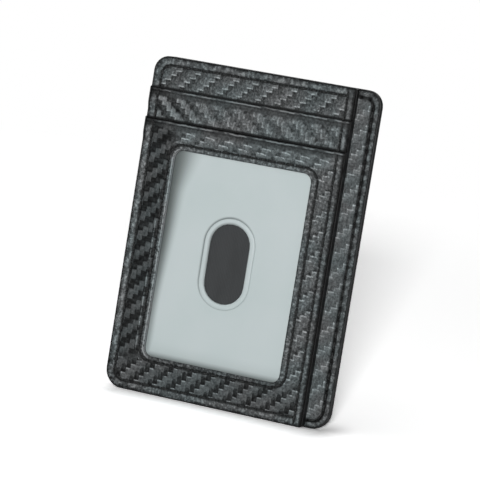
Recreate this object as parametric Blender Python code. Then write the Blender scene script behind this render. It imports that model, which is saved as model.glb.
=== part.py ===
"""Business card holder: two stitched halves of embossed synthetic leather, with a money slot between them.

Metres, +Z up. The origin is under the holder's middle, on the surface that it stands on. +X is the right
of the window side, -Y is what the window faces and +Z is towards the pocket mouths. Each sheet is an outline
seen from the front, measured from the holder's lower left corner. Its depth is measured outwards from the
middle of the slot.
"""

from math import cos, pi, radians, sin

import bmesh
import bpy
import numpy as np

# Outline of the back half, and how far the front half stops short of it at the slot's mouth
HOLDER_WIDTH = 0.078
HOLDER_HEIGHT = 0.110
SLOT_SETBACK = 0.0077
TOP_CORNER_RADIUS = 0.005
BOTTOM_CORNER_RADIUS = 0.006
SLOT_CORNER_RADIUS = 0.0012

# Thickness of each kind of sheet, and the room between sheets
LEATHER = 0.0009
CLOTH = 0.0002
BOARD = 0.0008
FILM = 0.0003
PLY_GAP = 0.00005
SLOT_GAP = 0.0003

# Pocket mouths, and the strips that lap over each other like shingles
FIRST_MOUTH_DROP = 0.0106
MOUTH_STEP = 0.010
STRIP_LAP = 0.004
STRIP_CLEARANCE = 0.0005
DRAPE_LENGTH = 0.003
EDGE_ROUND = 0.0003
CREASE_DROP = 0.00115
CREASE_WIDTH = 0.0004
CREASE_DEPTH = 0.00015

# Cloth and board, drawn in from the leather's edge
LINING_INSET = 0.0014
LINING_LAP = 0.0045
FRONT_LINING_FLOOR = 0.004
REAR_LINING_FLOOR = 0.014
BOARD_INSET = 0.0003

# Window, measured from the edges of the panel that it is cut in
WINDOW_LEFT_MARGIN = 0.0124
WINDOW_RIGHT_MARGIN = 0.0101
WINDOW_TOP_MARGIN = 0.0089
WINDOW_BOTTOM_MARGIN = 0.0123
WINDOW_CORNER_RADIUS = 0.0028
FILM_LAP = 0.0034

# Thumb hole in the film, long with round ends, and its raised rim
HOLE_WIDTH = 0.0139
HOLE_HEIGHT = 0.026
RIM_WIDTH = 0.0022
RIM_RISE = 0.00035
RIM_ROUND = 0.00025

# Facing inside the slot's mouth: how far it reaches in past the front half's edge
FACING_LAP = 0.0103

# Seams, each lying in a pressed groove
SEAM_INSET = 0.0025
SLOT_SEAM_INSET = 0.0023
WINDOW_SEAM_OUTSET = 0.0019
SEAM_CORNER_RADIUS = 0.0009
GROOVE_WIDTH = 0.0007
GROOVE_DEPTH = 0.0002

# Coating that closes the cut edges of each half
COAT = 0.0004
COAT_SETBACK = 0.0001
COAT_STEP = 0.0003
COAT_ROUND = 0.00018

# How finely curves are cut up, and how far cutters run past what they cut
CORNER_STEPS = 7
DRAPE_STEPS = 4
ROUND_STEPS = 2
SHARP_ANGLE = radians(38)
SQUARE_ANGLE = radians(88)
OVERRUN = 0.001
SAME_POINT = 0.000001

FRONT = -1
BACK = 1

# Colour and roughness of each material
LEATHER_LOOK = ((0.055, 0.060, 0.062), 0.42)
CLOTH_LOOK = ((0.050, 0.053, 0.057), 0.90)
BOARD_LOOK = ((0.30, 0.27, 0.22), 0.85)
FILM_LOOK = ((0.56, 0.61, 0.62), 0.30)
COAT_LOOK = ((0.012, 0.013, 0.013), 0.35)

FRONT_WIDTH = HOLDER_WIDTH - SLOT_SETBACK
PLY_INSET = COAT + PLY_GAP
CLOTH_INSET = PLY_INSET + LINING_INSET
SLOT_FACE = SLOT_GAP / 2


# Profiles: a face's depth at each height, as (height, depth) pairs with straight runs between them
def flat(depth):
    return [(0.0, depth)]


def depth_at(profile, height):
    heights, depths = zip(*profile)
    return float(np.interp(height, heights, depths))


def raised(profile, amount):
    return [(height, depth + amount) for height, depth in profile]


def draped(mouth, low, high):
    """The inner face of a pocket's leather: low at its foot, and lifted over the strip behind its mouth."""
    lifted = mouth - STRIP_LAP - STRIP_CLEARANCE
    rows = []
    for step in range(DRAPE_STEPS + 1):
        share = step / DRAPE_STEPS
        eased_share = share * share * (3 - 2 * share)
        rows.append((lifted - DRAPE_LENGTH * (1 - share), low + (high - low) * eased_share))
    return rows


def creased(profile, mouth):
    """The outer face of a turned edge, with the crease line that is pressed in below the mouth."""
    line = mouth - CREASE_DROP
    half_width = CREASE_WIDTH / 2
    depth = depth_at(profile, line)
    crease = [(line - half_width, depth), (line, depth - CREASE_DEPTH), (line + half_width, depth)]
    return [row for row in profile if row[0] < line - half_width] + crease


def joined(faces, mouths):
    """The one profile that shows, made of the outer faces of leather that lap from the top down."""
    rows = []
    feet = [height + COAT_STEP for height in mouths] + [0.0]
    heads = [HOLDER_HEIGHT] + mouths
    for face, foot, head in reversed(list(zip(faces, feet, heads))):
        between = [row for row in face if foot < row[0] < head]
        rows += [(foot, depth_at(face, foot))] + between + [(head, depth_at(face, head))]
    return rows


# Outlines seen from the front
def corner(centre_x, centre_z, radius, start):
    """A quarter circle of points, or the corner itself where it has no radius."""
    if radius <= 0:
        return [(centre_x, centre_z)]
    angles = [start + pi / 2 * step / CORNER_STEPS for step in range(CORNER_STEPS + 1)]
    return [(centre_x + radius * cos(angle), centre_z + radius * sin(angle)) for angle in angles]


def outline(left, right, bottom, top, radii):
    """A rectangle whose corner radii go round from the lower left, by way of the lower right."""
    low_left, low_right, high_right, high_left = [max(radius, 0.0) for radius in radii]
    points = corner(left + low_left, bottom + low_left, low_left, pi)
    points += corner(right - low_right, bottom + low_right, low_right, 3 * pi / 2)
    points += corner(right - high_right, top - high_right, high_right, 0.0)
    points += corner(left + high_left, top - high_left, high_left, pi / 2)
    kept = []
    for x, z in points:
        last_x, last_z = kept[-1] if kept else points[-1]
        if abs(x - last_x) + abs(z - last_z) > SAME_POINT:
            kept.append((x, z))
    return kept


class Half:
    """One half of the holder. Its leather, cloth and coating are cut to one outline, drawn in by an inset."""

    def __init__(self, side, width, free_radii):
        self.side = side
        self.width = width
        self.radii = (BOTTOM_CORNER_RADIUS, *free_radii, TOP_CORNER_RADIUS)

    def outline(self, inset, bottom=0.0, top=HOLDER_HEIGHT):
        """The outline between two heights, square where it is cut off above the foot or below the head."""
        radii = [radius - inset for radius in self.radii]
        if bottom > 0:
            radii[:2] = (0.0, 0.0)
        if top < HOLDER_HEIGHT:
            radii[2:] = (0.0, 0.0)
        low = max(bottom, inset)
        high = min(top, HOLDER_HEIGHT - inset)
        return outline(inset, self.width - inset, low, high, radii)


# Making objects
def material(name, look):
    colour, roughness = look
    made = bpy.data.materials.new(name)
    made.use_nodes = True
    shader = made.node_tree.nodes["Principled BSDF"]
    shader.inputs["Base Color"].default_value = (*colour, 1.0)
    shader.inputs["Roughness"].default_value = roughness
    shader.inputs["Metallic"].default_value = 0.0
    made.diffuse_color = (*colour, 1.0)
    return made


def sheet(name, points, side, inner, outer, look=None):
    """A closed sheet between two profiles, with a row of edges at each of their heights.

    Without a look it is a cutter.
    """
    mesh = bmesh.new()
    face = mesh.faces.new([mesh.verts.new((x, 0.0, z)) for x, z in points])
    grown = bmesh.ops.extrude_face_region(mesh, geom=[face])
    for item in grown["geom"]:
        if isinstance(item, bmesh.types.BMVert):
            item.co.y = 1.0
    foot = min(z for _, z in points) + SAME_POINT
    head = max(z for _, z in points) - SAME_POINT
    for height in sorted({row[0] for row in inner + outer if foot < row[0] < head}):
        parts = mesh.verts[:] + mesh.edges[:] + mesh.faces[:]
        level = (0, 0, height)
        bmesh.ops.bisect_plane(mesh, geom=parts, dist=SAME_POINT, plane_co=level, plane_no=(0, 0, 1))
    for vertex in mesh.verts:
        near = depth_at(inner, vertex.co.z)
        far = depth_at(outer, vertex.co.z)
        vertex.co.y = side * (near + (far - near) * vertex.co.y)
    bmesh.ops.recalc_face_normals(mesh, faces=mesh.faces[:])
    data = bpy.data.meshes.new(name)
    mesh.to_mesh(data)
    mesh.free()
    data.shade_smooth()
    data.set_sharp_from_angle(angle=SHARP_ANGLE)
    made = bpy.data.objects.new(name, data)
    made.parent = bpy.data.objects["holder"]
    bpy.context.scene.collection.objects.link(made)
    if look:
        data.materials.append(material(name, look))
    else:
        made.hide_render = True
        made.display_type = "WIRE"
    return made


def boolean(target, other, operation="DIFFERENCE"):
    step = target.modifiers.new(other.name, "BOOLEAN")
    step.operation = operation
    step.solver = "EXACT"
    step.object = other


def rounded(target, width):
    """Rounds a sheet's square rims. Grooves are cut after it, so that their edges stay crisp."""
    step = target.modifiers.new("rounded", "BEVEL")
    step.width = width
    step.segments = ROUND_STEPS
    step.limit_method = "ANGLE"
    step.angle_limit = SQUARE_ANGLE


def frame(name, half, edges, radii, near, far):
    """A cutter like a picture frame, for the groove of a seam that runs round a rectangle."""
    left, right, bottom, top = edges
    reach = GROOVE_WIDTH / 2
    wider = [radius + reach for radius in radii]
    tighter = [radius - reach for radius in radii]
    around = outline(left - reach, right + reach, bottom - reach, top + reach, wider)
    within = outline(left + reach, right - reach, bottom + reach, top - reach, tighter)
    depths = [depth for _, depth in near + far]
    cutter = sheet(name, around, half.side, near, far)
    core = sheet(name + "_core", within, half.side, flat(min(depths) - OVERRUN), flat(max(depths) + OVERRUN))
    boolean(cutter, core)
    return cutter


# The pieces
def add_flat(name, points, half, depth, thickness, look):
    """One flat sheet. Returns the depth where the next one lies."""
    sheet(name, points, half.side, flat(depth), flat(depth + thickness), look)
    return depth + thickness + PLY_GAP


def add_front_core(half):
    """What lies between the slot and the front pockets."""
    depth = add_flat("slot_front_lining", half.outline(CLOTH_INSET), half, SLOT_FACE, CLOTH, CLOTH_LOOK)
    depth = add_flat("front_board", half.outline(PLY_INSET + BOARD_INSET), half, depth, BOARD, BOARD_LOOK)
    return add_flat("front_base_lining", half.outline(CLOTH_INSET), half, depth, CLOTH, CLOTH_LOOK)


def add_back_core(half):
    """What lies between the slot and the rear pockets.

    Lining and board together are as thick as the facing.
    """
    left = FRONT_WIDTH - FACING_LAP
    radii = [radius - PLY_INSET for radius in half.radii]
    facing_radii = (0.0, radii[1], radii[2], 0.0)
    right = half.width - PLY_INSET
    facing_points = outline(left, right, PLY_INSET, HOLDER_HEIGHT - PLY_INSET, facing_radii)
    next_depth = add_flat("slot_facing", facing_points, half, SLOT_FACE, LEATHER, LEATHER_LOOK)
    beside_radii = (radii[0], 0.0, 0.0, radii[3])
    depth = SLOT_FACE
    for name, inset, thickness, look in (
        ("slot_back_lining", CLOTH_INSET, CLOTH, CLOTH_LOOK),
        ("back_board", PLY_INSET + BOARD_INSET, LEATHER - CLOTH - PLY_GAP, BOARD_LOOK),
    ):
        points = outline(inset, left - PLY_GAP, inset, HOLDER_HEIGHT - inset, beside_radii)
        depth = add_flat(name, points, half, depth, thickness, look)
    return add_flat("rear_base_lining", half.outline(CLOTH_INSET), half, next_depth, CLOTH, CLOTH_LOOK)


def add_pockets(half, depth, names, lining_floor, lift):
    """The top strip, then the pockets below it, each with its lining but for the last, which is lifted.

    Returns the leather pieces, the profile of what shows of them, and the heights of the mouths.
    """
    mouths = [HOLDER_HEIGHT - FIRST_MOUTH_DROP - number * MOUTH_STEP for number in range(len(names) - 1)]
    feet = [mouth - STRIP_LAP for mouth in mouths] + [0.0]
    faces = [flat(depth + LEATHER)]
    points = half.outline(PLY_INSET, feet[0])
    pieces = [sheet(names[0], points, half.side, flat(depth), faces[0], LEATHER_LOOK)]
    for name, mouth, foot in zip(names[1:], mouths, feet[1:]):
        if foot > 0:
            points = half.outline(CLOTH_INSET, lining_floor, foot + LINING_LAP)
            depth = add_flat(name.replace("strip", "lining"), points, half, depth, CLOTH, CLOTH_LOOK)
        else:
            depth += lift
        inner = draped(mouth, depth, depth_at(faces[-1], mouth) + PLY_GAP)
        faces.append(raised(inner, LEATHER))
        points = half.outline(PLY_INSET, foot, mouth)
        pieces.append(sheet(name, points, half.side, inner, creased(faces[-1], mouth), LEATHER_LOOK))
    return pieces, joined(faces, mouths), mouths


def add_window(half, panel, shown, mouth):
    """Cuts the window from its panel and puts the film behind it, with its thumb hole and rim.

    Returns the cutter of the window's seam.
    """
    left = WINDOW_LEFT_MARGIN
    right = half.width - WINDOW_RIGHT_MARGIN
    bottom = WINDOW_BOTTOM_MARGIN
    top = mouth - WINDOW_TOP_MARGIN
    panel_depth = depth_at(shown, 0.0) - LEATHER
    panel_face = depth_at(shown, mouth)
    points = outline(left, right, bottom, top, [WINDOW_CORNER_RADIUS] * 4)
    opening = sheet("window_cut", points, half.side, flat(panel_depth - OVERRUN), flat(panel_face + OVERRUN))
    boolean(panel, opening)

    film_face = panel_depth - PLY_GAP
    film_back = film_face - FILM
    lap = FILM_LAP
    points = outline(left - lap, right + lap, bottom - lap, top + lap, [WINDOW_CORNER_RADIUS + lap] * 4)
    film = sheet("window_film", points, half.side, flat(film_back), flat(film_face), FILM_LOOK)
    middle_x = (left + right) / 2
    middle_z = (bottom + top) / 2
    longs = []
    for spread in (0.0, RIM_WIDTH):
        across = HOLE_WIDTH / 2 + spread
        up = HOLE_HEIGHT / 2 + spread
        ends = (middle_x - across, middle_x + across, middle_z - up, middle_z + up)
        longs.append(outline(*ends, [across] * 4))
    hole = sheet("thumb_hole", longs[0], half.side, flat(film_back - OVERRUN), flat(film_face + OVERRUN))
    rim = sheet("thumb_rim", longs[1], half.side, flat(film_back + FILM / 2), flat(film_face + RIM_RISE))
    boolean(rim, hole)
    rounded(rim, RIM_ROUND)
    boolean(film, hole)
    boolean(film, rim, "UNION")

    out = WINDOW_SEAM_OUTSET
    edges = (left - out, right + out, bottom - out, top + out)
    radii = [WINDOW_CORNER_RADIUS + out] * 4
    return frame("window_seam", half, edges, radii, raised(shown, -GROOVE_DEPTH), raised(shown, OVERRUN))


def add_coat(half, name, shown):
    """The ring of coating round a half's cut edges, just short of the leather that shows."""
    coat = sheet(name, half.outline(0.0), half.side, flat(SLOT_FACE), raised(shown, -COAT_SETBACK), COAT_LOOK)
    deepest = flat(max(depth for _, depth in shown) + OVERRUN)
    core = sheet(name + "_core", half.outline(COAT), half.side, flat(SLOT_FACE - OVERRUN), deepest)
    boolean(coat, core)
    rounded(coat, COAT_ROUND)


def build():
    for old in list(bpy.data.objects):
        bpy.data.objects.remove(old)
    holder = bpy.data.objects.new("holder", None)
    bpy.context.scene.collection.objects.link(holder)

    front = Half(FRONT, FRONT_WIDTH, (SLOT_CORNER_RADIUS, SLOT_CORNER_RADIUS))
    names = ("front_top_strip", "middle_pocket_strip", "window_panel")
    depth = add_front_core(front)
    front_leather, front_face, mouths = add_pockets(front, depth, names, FRONT_LINING_FLOOR, FILM + PLY_GAP)
    panel = front_leather[-1]
    window_seam = add_window(front, panel, front_face, mouths[-1])
    add_coat(front, "front_edge_coat", front_face)

    back = Half(BACK, HOLDER_WIDTH, (BOTTOM_CORNER_RADIUS, TOP_CORNER_RADIUS))
    names = ("rear_top_strip", "rear_pocket_1_strip", "rear_pocket_2_strip", "rear_pocket_3_panel")
    depth = add_back_core(back)
    rear_leather, rear_face, _ = add_pockets(back, depth, names, REAR_LINING_FLOOR, 0.0)
    add_coat(back, "back_edge_coat", rear_face)
    facing = bpy.data.objects["slot_facing"]

    # Seams: round each half, with the front half's right side beside the slot, and on the facing
    low_radius = BOTTOM_CORNER_RADIUS - SEAM_INSET
    high_radius = TOP_CORNER_RADIUS - SEAM_INSET
    top = HOLDER_HEIGHT - SEAM_INSET
    front_edges = (SEAM_INSET, FRONT_WIDTH - SLOT_SEAM_INSET, SEAM_INSET, top)
    front_radii = (low_radius, SEAM_CORNER_RADIUS, SEAM_CORNER_RADIUS, high_radius)
    back_edges = (SEAM_INSET, HOLDER_WIDTH - SEAM_INSET, SEAM_INSET, top)
    back_radii = (low_radius, low_radius, high_radius, high_radius)
    front_cut = (raised(front_face, -GROOVE_DEPTH), raised(front_face, OVERRUN))
    rear_cut = (raised(rear_face, -GROOVE_DEPTH), raised(rear_face, OVERRUN))
    facing_cut = (flat(SLOT_FACE - OVERRUN), flat(SLOT_FACE + GROOVE_DEPTH))
    front_seam = frame("front_seam", front, front_edges, front_radii, *front_cut)
    rear_seam = frame("rear_seam", back, back_edges, back_radii, *rear_cut)
    facing_seam = frame("facing_seam", back, back_edges, back_radii, *facing_cut)
    for piece in [*front_leather, *rear_leather, facing]:
        rounded(piece, EDGE_ROUND)
    boolean(panel, window_seam)
    for piece in front_leather:
        boolean(piece, front_seam)
    for piece in rear_leather:
        boolean(piece, rear_seam)
    boolean(facing, facing_seam)

    front_depth = max(depth for _, depth in front_face)
    rear_depth = max(depth for _, depth in rear_face)
    holder.location = (-HOLDER_WIDTH / 2, (front_depth - rear_depth) / 2, 0.0)


build()
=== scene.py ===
from math import cos, hypot, pi, radians, sin

import bmesh
import bpy
from mathutils import Matrix, Vector


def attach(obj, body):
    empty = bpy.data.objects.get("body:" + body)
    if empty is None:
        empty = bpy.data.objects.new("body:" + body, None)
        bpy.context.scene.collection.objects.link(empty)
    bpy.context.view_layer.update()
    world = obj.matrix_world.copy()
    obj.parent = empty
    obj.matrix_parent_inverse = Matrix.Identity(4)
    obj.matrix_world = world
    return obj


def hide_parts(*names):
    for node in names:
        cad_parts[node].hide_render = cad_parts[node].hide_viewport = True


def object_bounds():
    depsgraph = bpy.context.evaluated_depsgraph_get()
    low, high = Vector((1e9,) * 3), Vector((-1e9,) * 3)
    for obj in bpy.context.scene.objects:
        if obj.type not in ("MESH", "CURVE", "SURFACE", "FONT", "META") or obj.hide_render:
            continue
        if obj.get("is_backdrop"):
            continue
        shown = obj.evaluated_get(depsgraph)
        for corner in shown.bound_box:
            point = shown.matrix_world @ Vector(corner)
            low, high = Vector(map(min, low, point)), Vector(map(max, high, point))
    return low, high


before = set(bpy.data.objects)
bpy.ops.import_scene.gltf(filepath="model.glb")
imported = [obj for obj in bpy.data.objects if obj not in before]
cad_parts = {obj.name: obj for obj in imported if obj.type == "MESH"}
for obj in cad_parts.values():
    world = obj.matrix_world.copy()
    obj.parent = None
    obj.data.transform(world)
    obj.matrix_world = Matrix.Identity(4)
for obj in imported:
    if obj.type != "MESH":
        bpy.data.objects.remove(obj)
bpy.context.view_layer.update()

mm = 0.001


def inMm(*sizes):
    return tuple(size * mm for size in sizes)


# Camera, floor and lights. The camera's place comes from the holder's corners in the photograph
view = {
    "azimuth": 20.69,
    "elevation": 5.27,
    "roll": 9.18,
    "distance": 875.9 * mm,
    "lens": 203.22,
    "across": 0.75 * mm,
    "upwards": -0.43 * mm,
    "aim": 55 * mm,
}
studio = {
    "floorSize": 16.0,
    "floorColour": (0.86,) * 3,
    # What lifts the floor in the camera's view, near and far, and where it passes into plain white
    "floorLift": ((1.95,) * 3, (2.6,) * 3),
    "liftReach": (0.1, 1.0),
    "floorFade": (0.90, 1.25),
    # Painted shadow at the holder's foot: a rounded box on the floor, its reach and its strength
    "foot": (inMm(-32, 38, -1.5, 1.5), 1 * mm),
    "footStretch": 0.4,
    "footReach": inMm(-4, 9),
    "footShade": 0.85,
    "skyGlow": 0.10,
    # name: azimuth, elevation, distance, size, share of the plain level
    "lamps": {
        "key": (17, 9, 3.2, 0.22, 0.84),
        "overhead": (-15, 35, 0.9, 0.8, 0.11),
        "left": (-72, 16, 1.0, 0.6, 0.16),
        "right": (88, 16, 1.0, 0.5, 0.10),
        "behind": (200, 10, 3.0, 2.0, 0.22),
    },
}


def lookFrom(azimuth, elevation):
    across = Vector((cos(azimuth), sin(azimuth), 0))
    back = Vector((sin(azimuth) * cos(elevation), -cos(azimuth) * cos(elevation), sin(elevation)))
    return across, back.cross(across), back


def facing(across, up, back):
    turn = Matrix((across, up, back)).transposed()
    return turn.to_euler()


def placeCamera():
    across, up, back = lookFrom(radians(view["azimuth"]), radians(view["elevation"]))
    roll = radians(view["roll"])
    rolledAcross = across * cos(roll) + up * sin(roll)
    rolledUp = up * cos(roll) - across * sin(roll)
    place = Vector((0, 0, view["aim"])) + back * view["distance"]
    place -= rolledAcross * view["across"] + rolledUp * view["upwards"]
    bpy.ops.object.camera_add(location=place, rotation=facing(rolledAcross, rolledUp, back))
    camera = bpy.context.object
    camera.data.sensor_width = 36
    camera.data.lens = view["lens"]
    camera.data.clip_end = 50
    bpy.context.scene.camera = camera


def placeLamps():
    for name, (azimuth, elevation, distance, size, share) in studio["lamps"].items():
        across, up, back = lookFrom(radians(azimuth), radians(elevation))
        place = Vector((0, 0, view["aim"])) + back * distance
        bpy.ops.object.light_add(type="AREA", location=place, rotation=facing(across, up, back))
        lamp = bpy.context.object
        lamp.name = name + "_lamp"
        lamp.data.size = size
        lamp.data.energy = share * (pi * distance) ** 2
        lamp.visible_camera = False


# Shader maths: a socket that can be added, multiplied and so on
def maths(operation, flip=False):
    def made(self, *others):
        values = [self, *others]
        if flip:
            values.reverse()
        return self.tree.node("ShaderNodeMath", {"operation": operation}, dict(enumerate(values)))
    return made


class Value:
    __add__ = __radd__ = maths("ADD")
    __sub__ = maths("SUBTRACT")
    __rsub__ = maths("SUBTRACT", flip=True)
    __mul__ = __rmul__ = maths("MULTIPLY")
    __truediv__ = maths("DIVIDE")
    __mod__ = maths("FLOORED_MODULO")
    __pow__ = maths("POWER")
    __abs__ = maths("ABSOLUTE")
    __lt__ = maths("LESS_THAN")
    floor = maths("FLOOR")
    fract = maths("FRACT")
    sin = maths("SINE")
    least = maths("MINIMUM")
    most = maths("MAXIMUM")

    def __init__(self, tree, socket):
        self.tree = tree
        self.socket = socket

    def __neg__(self):
        return self * -1

    def riseMm(self, low, high):
        return self.rise(low * mm, high * mm)

    def rise(self, low, high):
        # 0 below low, 1 above high, eased between
        settings = {"interpolation_type": "SMOOTHSTEP"}
        inputs = {"Value": self, "From Min": low, "From Max": high}
        return self.tree.node("ShaderNodeMapRange", settings, inputs)


class Finish:
    # One material and its nodes
    def __init__(self, name):
        self.material = bpy.data.materials.new(name)
        self.material.use_nodes = True
        self.tree = self.material.node_tree
        self.shader = self.tree.nodes["Principled BSDF"]
        self.out = self.tree.nodes["Material Output"]
        self.place = self.node("ShaderNodeTexCoord", {}, {}, "Object")

    def node(self, kind, settings, inputs, output=0):
        made = self.tree.nodes.new(kind)
        for key, value in settings.items():
            setattr(made, key, value)
        for key, value in inputs.items():
            self.feed(made.inputs[key], value)
        return Value(self, made.outputs[output])

    def feed(self, socket, value):
        if isinstance(value, Value):
            self.tree.links.new(value.socket, socket)
        elif isinstance(value, tuple) and len(value) == 3 and socket.type == "RGBA":
            socket.default_value = (*value, 1)
        else:
            socket.default_value = value

    def axes(self):
        split = self.node("ShaderNodeSeparateXYZ", {}, {0: self.place}).socket.node
        return [Value(self, output) for output in split.outputs]

    def noise(self, scale, detail=2.0, roughness=0.5, stretch=(1, 1, 1), shift=(0, 0, 0)):
        inputs = {"Vector": self.place, "Scale": stretch, "Location": shift}
        place = self.node("ShaderNodeMapping", {}, inputs)
        inputs = {"Vector": place, "Scale": scale, "Detail": detail, "Roughness": roughness}
        return self.node("ShaderNodeTexNoise", {}, inputs, "Fac")

    def mix(self, share, first, second):
        inputs = {"Factor": share, 6: first, 7: second}
        return self.node("ShaderNodeMix", {"data_type": "RGBA"}, inputs, 2)

    def bump(self, height, strength, distance):
        inputs = {"Height": height, "Strength": strength, "Distance": distance}
        return self.node("ShaderNodeBump", {}, inputs)

    def set(self, **values):
        for name, value in values.items():
            self.feed(self.shader.inputs[name.replace("_", " ")], value)
        return self.material


def blend(share, first, second):
    return first + (second - first) * share


def frameDistance(x, z, box, radius):
    # How far outside a rounded rectangle a point lies, and negative within it
    left, right, bottom, top = box
    sideways = abs(x - (left + right) / 2) - ((right - left) / 2 - radius)
    upright = abs(z - (bottom + top) / 2) - ((top - bottom) / 2 - radius)
    outside = (sideways.most(0) ** 2 + upright.most(0) ** 2) ** 0.5
    return outside + sideways.most(upright).least(0) - radius


# Making and shaping a mesh
def deselect():
    bpy.ops.object.select_all(action="DESELECT")


def activate(piece):
    deselect()
    piece.select_set(True)
    bpy.context.view_layer.objects.active = piece


def edit():
    bpy.ops.object.mode_set(mode="EDIT")


def leave():
    bpy.ops.object.mode_set(mode="OBJECT")


def selectAll():
    bpy.ops.mesh.select_all(action="SELECT")


def turnOutwards():
    selectAll()
    bpy.ops.mesh.normals_make_consistent(inside=False)
    leave()


def join(piece, *others):
    activate(piece)
    for other in others:
        other.select_set(True)
    bpy.ops.object.join()


def shape():
    return bmesh.from_edit_mesh(bpy.context.object.data)


def pick(kind, test):
    bpy.ops.mesh.select_mode(type=kind)
    bpy.ops.mesh.select_all(action="DESELECT")
    mesh = shape()
    for item in {"VERT": mesh.verts, "EDGE": mesh.edges, "FACE": mesh.faces}[kind]:
        if test(item):
            item.select_set(True)
    mesh.select_flush_mode()
    bmesh.update_edit_mesh(bpy.context.object.data)


def settle(piece):
    activate(piece)
    bpy.ops.object.transform_apply(location=True, rotation=True, scale=True)


def apply(piece, kind, **settings):
    activate(piece)
    step = piece.modifiers.new("step", kind)
    for key, value in settings.items():
        setattr(step, key, value)
    bpy.ops.object.modifier_apply(modifier="step")


def finished(piece, material, *nodes, angle=40):
    activate(piece)
    bpy.ops.object.shade_smooth_by_angle(angle=radians(angle))
    piece.data.materials.clear()
    piece.data.materials.append(material)
    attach(piece, "root")
    if nodes:
        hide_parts(*nodes)


def widened(box, by):
    left, right, bottom, top = box
    return left - by, right + by, bottom - by, top + by


def cornersOf(box):
    # From the lower left, against the clock
    left, right, bottom, top = box
    return (left, bottom), (right, bottom), (right, top), (left, top)


def cutOutline(name, box, depth, radii, counts):
    # A rectangle with its corners rounded and its sides cut up, and one face
    left, right, bottom, top = box
    deselect()
    middle = ((left + right) / 2, depth, (bottom + top) / 2)
    bpy.ops.mesh.primitive_plane_add(size=1, location=middle, rotation=(pi / 2, 0, 0))
    piece = bpy.context.object
    piece.name = name
    piece.data.name = name
    piece.scale = (right - left, top - bottom, 1)
    settle(piece)
    edit()
    for (x, z), radius in zip(cornersOf(box), radii):
        if radius:
            place = Vector((x, depth, z))
            pick("VERT", lambda vertex: (vertex.co - place).length < 0.001 * mm)
            bpy.ops.mesh.bevel(offset=radius, segments=cornerSteps, affect="VERTICES")
    selectAll()
    bpy.ops.mesh.delete(type="ONLY_FACE")
    for axis, count in zip((0, 2), counts):
        span = (right - left, 0, top - bottom)[axis]
        # A side with many cuts is halved first, since Blender makes a hundred in one go at most
        rounds = ((0.4, 1), (0.2, count // 2 - 1)) if count > 100 else ((0.4, count - 1),)
        for part, cuts in rounds:
            pick("EDGE", lambda edge: abs(edge.verts[0].co[axis] - edge.verts[1].co[axis]) > span * part)
            bpy.ops.mesh.subdivide(number_cuts=cuts)
    selectAll()
    bpy.ops.mesh.edge_face_add()
    bpy.ops.mesh.select_mode(type="FACE")
    return piece


def openRing(name, box, depth, radii, counts, rings=()):
    # An outline with rings inside it, and nothing in the middle
    piece = cutOutline(name, box, depth, radii, counts)
    for width in rings:
        bpy.ops.mesh.inset(thickness=width)
    openMiddle()
    leave()
    return piece


def openMiddle():
    # Takes out the one large face, and leaves its edges selected
    face = max(shape().faces, key=lambda face: len(face.verts))
    ring = {vertex.index for vertex in face.verts}
    bpy.ops.mesh.select_all(action="DESELECT")
    face.select_set(True)
    bpy.ops.mesh.delete(type="ONLY_FACE")
    pick("EDGE", lambda edge: len(edge.link_faces) < 2 and {vertex.index for vertex in edge.verts} <= ring)


def thicken(piece, thickness):
    # Gives a sheet its back, behind the face that is seen
    edit()
    selectAll()
    bpy.ops.mesh.remove_doubles(threshold=0.0005 * mm)
    turnOutwards()
    if piece.data.polygons[0].normal.y > 0:
        edit()
        selectAll()
        bpy.ops.mesh.flip_normals()
        leave()
    apply(piece, "SOLIDIFY", thickness=thickness, offset=-1)


def sheetOf(name, box, depth, radii, counts, thickness, rim):
    # A sheet that faces the camera, cut up finely enough to be pressed
    piece = cutOutline(name, box, depth, radii, counts)
    for width in rim:
        bpy.ops.mesh.inset(thickness=width)
    openMiddle()
    # The grid begins at the lower left, and its span takes in half of each rounded lower corner
    corners = sum(1 for radius in radii[:2] if radius) if any(radii[2:]) else 0
    bpy.ops.mesh.fill_grid(span=counts[0] + corners * (cornerSteps // 2), offset=0)
    leave()
    thicken(piece, thickness)
    return piece


def lift(piece, height, by, soft):
    # Raises all that is above a height, and eases what is just below
    activate(piece)
    edit()
    pick("VERT", lambda vertex: vertex.co.z > height)
    bpy.ops.transform.translate(
        value=(0, by, 0), use_proportional_edit=True,
        proportional_edit_falloff="SMOOTH", proportional_size=soft,
    )
    leave()


def press(piece, points, reach, by, spots=False, closed=True, falloff="SMOOTH", keep=None):
    # Pushes the surface along a line of points, or at each of them, and eases off within the reach
    # Where it is kept, how far it pushed becomes an attribute for the piece's material
    count = len(points)
    links = 0 if spots else count if closed else count - 1
    edges = [(number, (number + 1) % count) for number in range(links)]
    data = bpy.data.meshes.new("press_tool")
    data.from_pydata(points, edges, [])
    tool = bpy.data.objects.new("press_tool", data)
    bpy.context.scene.collection.objects.link(tool)
    group = piece.vertex_groups.new(name="pressed")
    group.add(range(len(piece.data.vertices)), 1.0, "REPLACE")
    apply(
        piece, "VERTEX_WEIGHT_PROXIMITY", vertex_group="pressed", target=tool,
        proximity_mode="GEOMETRY", proximity_geometry={"VERTEX" if spots else "EDGE"},
        min_dist=reach, max_dist=0.0, falloff_type=falloff,
    )
    if keep:
        found = {vertex.index: slot.weight for vertex in piece.data.vertices for slot in vertex.groups}
        layer = piece.data.attributes.get(keep) or piece.data.attributes.new(keep, "FLOAT", "POINT")
        for number, value in enumerate(layer.data):
            value.value = max(value.value, found.get(number, 0.0))
    apply(piece, "DISPLACE", direction="Y", vertex_group="pressed", mid_level=0, strength=by)
    piece.vertex_groups.clear()
    bpy.data.objects.remove(tool)
    bpy.data.meshes.remove(data)


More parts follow.
